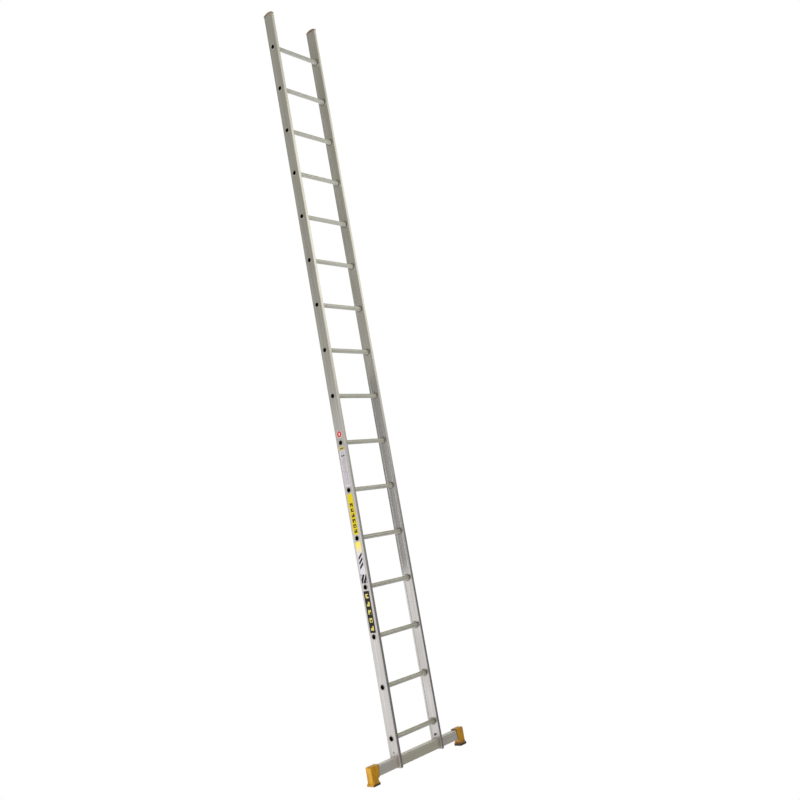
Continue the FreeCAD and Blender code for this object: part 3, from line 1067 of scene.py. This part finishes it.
@dataclass
class Feet:
    """The moulded caps on the bar's ends and the rubber soles under them."""

    wall: float = 0.0035
    fit: float = 0.0001
    sole_height: float = 0.009
    end_wall: float = 0.004
    slant: float = 0.008
    neck_inset: float = 0.016
    corner: float = 0.004
    corner_steps: int = 5
    edge: float = 0.0009
    skirt_rise: float = 0.016
    skirt_steps: int = 5
    flare: float = 0.0045
    lip: float = 0.002
    panel_margin: float = 0.0028
    panel_depth: float = 0.0009
    tread_count: int = 5
    tread_width: float = 0.0024
    tread_depth: float = 0.0022
    sole_corner: float = 0.006
    sole_edge: float = 0.0006

    def make_cap(self) -> bpy.types.Object:
        """Model the right foot cap: a sleeve for the bar, an end panel, a flared skirt and a guard."""
        low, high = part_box("right_foot_cap")
        bar_low, bar_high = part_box("stabiliser_bar")
        half = high[1] - self.flare
        inner = low[0]
        outer = high[0] - self.flare
        floor = bar_low[2] - self.wall + 0.0005
        work = Workpiece("right_foot", (inner, -half, floor), (outer, half, high[2]))
        near = TOUCH

        work.edges(lambda a, b: max(a.x, b.x) < inner + near and max(a.z, b.z) < floor + near)
        work.move((self.slant, 0.0, 0.0))
        work.edges(
            lambda a, b: (min(a.x, b.x) > outer - near or min(a.z, b.z) > high[2] - near)
            and not (max(a.x, b.x) < inner + near)
            and not (max(a.z, b.z) < floor + near)
        )
        work.round_edges(self.corner, self.corner_steps)

        neck = inner + self.neck_inset
        work.cut_all((neck, 0.0, 0.0), (1.0, 0.0, 0.0))
        work.faces(lambda c, n: n.z < DOWN and c.x > neck)
        top = self.sole_height + self.skirt_rise
        work.extrude((0.0, 0.0, top - floor))
        self.flare_skirt(work, (neck + outer) / 2, (outer - neck) / 2, half)
        work.cut((outer, 0.0, 0.0), (1.0, 0.0, 0.0))
        work.faces(lambda c, n: n.z < DOWN and c.x > outer and c.z < self.sole_height + near)
        work.extrude((0.0, 0.0, low[2] - self.sole_height))

        def mouth(c: Vector, n: Vector) -> bool:
            """Whether a face belongs to the slanting mouth."""
            return n.x < -0.5 and c.z > floor and c.x < neck

        for depth in (bar_low[1] - self.fit, bar_high[1] + self.fit):
            work.faces(mouth)
            work.cut((0.0, depth, 0.0), (0.0, 1.0, 0.0))
        for level in (bar_low[2] - self.fit, bar_high[2] + self.fit):
            work.faces(mouth)
            work.cut((0.0, 0.0, level), (0.0, 0.0, 1.0))
        work.faces(
            lambda c, n: mouth(c, n)
            and abs(c.y) < bar_high[1]
            and bar_low[2] < c.z < bar_high[2]
        )
        work.extrude((outer - self.end_wall - inner, 0.0, 0.0))
        work.resize((0.0, 1.0, 1.0), (outer - self.end_wall, 0.0, 0.0))

        work.faces(lambda c, n: n.x > 0.999 and c.x > outer - near and c.z > top)
        work.inset(self.panel_margin)
        work.move((-self.panel_depth, 0.0, 0.0))
        return work.finish(self.edge)

    def flare_skirt(self, work: Workpiece, middle: float, half_x: float, half_y: float) -> None:
        """Draw the selected bottom faces down and outwards along a quarter circle.

        Args:
            work: The foot cap.
            middle: X of the neck's middle.
            half_x: Half the neck's length.
            half_y: Half the neck's depth.
        """
        reach_x, reach_y = half_x, half_y
        drop = self.skirt_rise - self.lip
        last = 0.0
        for step in range(1, self.skirt_steps + 1):
            turn = math.pi / 2 * step / self.skirt_steps
            down = drop * math.sin(turn)
            out = self.flare * (1.0 - math.cos(turn))
            work.extrude((0.0, 0.0, last - down))
            factors = ((half_x + out) / reach_x, (half_y + out) / reach_y, 1.0)
            work.resize(factors, (middle, 0.0, 0.0))
            reach_x, reach_y, last = half_x + out, half_y + out, down
        work.extrude((0.0, 0.0, -self.lip))

    def make_sole(self) -> bpy.types.Object:
        """Model the right sole: a rounded rubber block with tread lands under it."""
        low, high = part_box("right_foot_sole")
        base = low[2] + self.tread_depth
        work = Workpiece("right_sole", (low[0], low[1], base), (high[0], high[1], self.sole_height))
        work.edges(lambda a, b: abs(a.z - b.z) > 0.001 and a.x < low[0] + TOUCH)
        work.round_edges(self.sole_corner, self.corner_steps)
        pitch = (high[1] - low[1]) / (self.tread_count + 1)
        centres = [low[1] + pitch * (number + 1) for number in range(self.tread_count)]
        reach = self.tread_width / 2
        for centre in centres:
            for edge in (centre - reach, centre + reach):
                work.cut_all((0.0, edge, 0.0), (0.0, 1.0, 0.0))
        work.faces(lambda c, n: n.z < DOWN and all(abs(c.y - centre) > reach for centre in centres))
        work.extrude((0.0, 0.0, -self.tread_depth))
        return work.finish(self.sole_edge)

    def build(self) -> None:
        """Model the right foot, copy it to the left and let both stand for their nodes."""
        plastic = FootPlastic(
            "foot_plastic",
            colour=tone(206, 154, 8),
            shade=tone(184, 126, 8),
            dirt=tone(104, 76, 34),
            dirt_top=0.024,
            coat=0.04,
        ).make()
        rubber = Rubber("sole_rubber", tone(48, 40, 34), tone(92, 84, 74)).make()
        for piece, kind, slot, material in (
            (self.make_cap(), "foot_cap", "foot_plastic", plastic),
            (self.make_sole(), "foot_sole", "sole_rubber", rubber),
        ):
            place_piece(piece, f"right_{kind}", material)
            copy = mirror_copy(piece, piece.name.replace("right", "left"))
            place_piece(copy, f"left_{kind}", material)


@dataclass
class TopCaps:
    """The crowned plastic caps on the stiles' upper ends."""

    edge_height: float = 0.007
    columns: int = 12
    edge: float = 0.0022
    edge_steps: int = 4
    edge_angle: float = 50.0

    def make_cap(self) -> bpy.types.Object:
        """Model the right cap: a low block whose top is drawn up into a crown."""
        low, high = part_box("right_top_cap")
        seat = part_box("right_stile")[1][2]
        shoulder = seat + self.edge_height
        half = high[1]
        crown = high[2] - shoulder
        work = Workpiece("right_end_cap", (low[0], low[1], seat), (high[0], half, shoulder))
        step = 2 * half / self.columns
        for column in range(1, self.columns):
            work.cut_all((0.0, column * step - half, 0.0), (0.0, 1.0, 0.0))
        near = step / 4
        for column in range(1, self.columns):
            depth = column * step - half
            work.edges(
                lambda a, b: min(a.z, b.z) > shoulder - TOUCH
                and abs(a.y - depth) < near
                and abs(b.y - depth) < near
            )
            work.move((0.0, 0.0, crown * (1.0 - (depth / half) ** 2)))
        return work.finish(self.edge, segments=self.edge_steps, angle=self.edge_angle)

    def build(self) -> None:
        """Model the right cap, copy it to the left and let both stand for their nodes."""
        # Painted shade: the caps are the feet's orange plastic, darkened to brown as it shows from below.
        plastic = MouldedPlastic(
            "cap_plastic",
            colour=tone(130, 106, 80),
            shade=tone(102, 84, 62),
            dirt=tone(66, 54, 42),
            dirt_top=0.0,
        ).make()
        piece = self.make_cap()
        place_piece(piece, "right_top_cap", plastic)
        copy = mirror_copy(piece, "left_end_cap")
        place_piece(copy, "left_top_cap", plastic)


@dataclass
class Labels:
    """The printed films in the channel of the left stile."""

    def build(self) -> None:
        """Dress every label with its own print."""
        white = tone(206, 203, 211)
        yellow = tone(206, 185, 20)
        black = tone(17, 16, 14)
        films: tuple[PrintedFilm, ...] = (
            RoundFilm("round_label", tone(184, 52, 52)),
            WavyFilm("patch_label", tone(190, 172, 112)),
            DataFilm("data_label", tone(200, 196, 203)),
            BarFilm("yellow_label", yellow, fill=0.7, half_width=0.011, start=0.008, stop=0.046),
            FadeFilm("white_label", white),
            SlashFilm("striped_label", white),
            BarFilm(
                "black_label",
                black,
                block=tone(204, 190, 96),
                pitch=0.0405,
                fill=0.55,
                half_width=0.0105,
                start=0.012,
                stop=0.008,
                bite=0.0056,
                bite_shift=0.0068,
            ),
        )
        for film in films:
            dress_nodes([film.node], film.make())


# ---------------------------------------------------------------------------------------------
# Studio
# ---------------------------------------------------------------------------------------------


@dataclass
class Studio:
    """A white floor, soft surroundings and a camera that looks at the leaning ladder."""

    lean: float = 13.65
    azimuth: float = -48.70
    elevation: float = 0.53
    camera_place: Triple = (-3.5276, -3.3284, 1.1379)
    lens: float = 40.98
    sensor: float = 36.0
    floor_half: float = 30.0
    low_front: float = 0.14
    middle_front: float = 1.45
    high_front: float = 0.42
    low_back: float = 1.08
    high_back: float = 0.37
    floor_bounce: float = 0.55
    key_power: float = 115.0
    key_place: Triple = (-4.8, 0.3, 2.2)
    key_size: float = 2.8
    fill_power: float = 17.0
    fill_place: Triple = (0.3, -1.7, 2.8)
    fill_size: float = 1.2
    flag_low: Triple = (-0.215, 0.3, 0.94)
    flag_high: Triple = (-0.02, 0.302, 2.1)
    flag_glow: float = 0.14

    def make_camera(self) -> None:
        """A level camera beside the leaning ladder, turned into the ladder's own frame."""
        data = bpy.data.cameras.new("camera")
        data.lens = self.lens
        data.sensor_width = self.sensor
        data.clip_end = 200.0
        camera = bpy.data.objects.new("camera", data)
        turn = Matrix.Rotation(math.radians(self.azimuth), 4, "Z")
        tilt = Matrix.Rotation(math.radians(90.0 - self.elevation), 4, "X")
        leaning = Matrix.Rotation(math.radians(self.lean), 4, "X")
        camera.matrix_world = Matrix.Translation(self.camera_place) @ leaning @ turn @ tilt
        bpy.context.scene.collection.objects.link(camera)
        bpy.context.scene.camera = camera

    def make_world(self) -> None:
        """White behind the ladder, with a soft grey gradient as what the metal reflects."""
        world = bpy.data.worlds.new("studio")
        world.use_nodes = True
        bpy.context.scene.world = world
        tree = ShaderTree(world.node_tree)
        warm: Colour = (1.0, 0.965, 0.82, 1.0)
        cool: Colour = (0.985, 0.97, 1.0, 1.0)
        direction = tree.node("ShaderNodeTexCoord", output="Generated")
        east = tree.node("ShaderNodeSeparateXYZ", {}, {0: direction})
        north, rise = east.sibling(1), east.sibling(2)
        front_right = (east - north) * math.sqrt(0.5)
        front = self.low_front + (self.middle_front - self.low_front) * rise.rise(-0.02, 0.3)
        front = front + (self.high_front - self.middle_front) * rise.rise(0.36, 0.6)
        back = self.low_back + (self.high_back - self.low_back) * rise.rise(0.03, 0.17)
        side = front_right.rise(-0.25, 0.35)
        bounce = self.floor_bounce * rise.rise(-0.35, -0.7)
        strength = front * side + back * (1.0 - side) + bounce
        colour = tree.tint(rise.rise(0.02, 0.22), cool, warm)
        glow = tree.node("ShaderNodeBackground", {}, {"Color": colour, "Strength": strength})
        white = tree.node("ShaderNodeBackground", {}, {"Color": WHITE, "Strength": 1.0})
        seen = tree.node("ShaderNodeLightPath", output="Is Camera Ray")
        mixed = tree.node("ShaderNodeMixShader", {}, {0: seen, 1: glow, 2: white})
        output = tree.tree.nodes.new("ShaderNodeOutputWorld")
        tree.tree.links.new(mixed.socket, output.inputs["Surface"])

    def make_floor(self) -> None:
        """A plain white floor at the soles."""
        bpy.ops.object.select_all(action="DESELECT")
        bpy.ops.mesh.primitive_plane_add(size=2 * self.floor_half, location=(0.0, 0.0, CAD_BOUNDS[0][2]))
        floor = bpy.context.object
        floor.name = "floor"
        canvas = Canvas("floor_white")
        glow = canvas.node("ShaderNodeEmission", {}, {"Color": WHITE, "Strength": 1.0})
        canvas.node_output(glow)
        floor.data.materials.append(canvas.material)
        floor.visible_diffuse = False
        floor.visible_glossy = False
        floor.visible_shadow = False

    def make_flag(self) -> None:
        """A grey card behind the ladder that only shows as a soft band in the right stile's web."""
        flag = Workpiece("flag", self.flag_low, self.flag_high).object
        bpy.ops.object.mode_set(mode="OBJECT")
        canvas = Canvas("flag_grey")
        grey = {"Color": (1.0, 0.98, 0.96, 1.0), "Strength": self.flag_glow}
        canvas.node_output(canvas.node("ShaderNodeEmission", {}, grey))
        flag.data.materials.append(canvas.material)
        flag.visible_camera = False
        flag.visible_diffuse = False
        flag.visible_shadow = False

    def make_light(self, name: str, place: Triple, power: float, size: float, aim_z: float) -> None:
        """Add a soft square light that faces the ladder and shows in no reflection.

        Args:
            name: The light's name.
            place: Its place.
            power: Its power in watts.
            size: Its side in metres.
            aim_z: Height on the ladder that it faces.
        """
        data = bpy.data.lights.new(name, "AREA")
        data.energy = power
        data.size = size
        light = bpy.data.objects.new(name, data)
        aim = Vector((0.0, 0.0, aim_z)) - Vector(place)
        turn = aim.to_track_quat("-Z", "Y").to_matrix().to_4x4()
        light.matrix_world = Matrix.Translation(place) @ turn
        light.visible_camera = False
        light.visible_glossy = False
        bpy.context.scene.collection.objects.link(light)

    def build(self) -> None:
        """Set up the whole studio."""
        bpy.context.scene.view_settings.view_transform = "Standard"
        self.make_world()
        self.make_floor()
        self.make_flag()
        top = CAD_BOUNDS[1][2]
        self.make_light("key", self.key_place, self.key_power, self.key_size, top / 2)
        self.make_light("fill", self.fill_place, self.fill_power, self.fill_size, self.fill_place[2])
        self.make_camera()


def main() -> None:
    """Build the ladder's looks and the studio, in order."""
    logging.basicConfig(level=logging.INFO, format="%(message)s")
    rungs = RungPattern.from_frame()
    Stiles(rungs).build()
    Rungs(rungs).build()
    StabiliserBar().build()
    Fasteners().build()
    Feet().build()
    TopCaps().build()
    Labels().build()
    Studio().build()


if __name__ == "__main__":
    main()
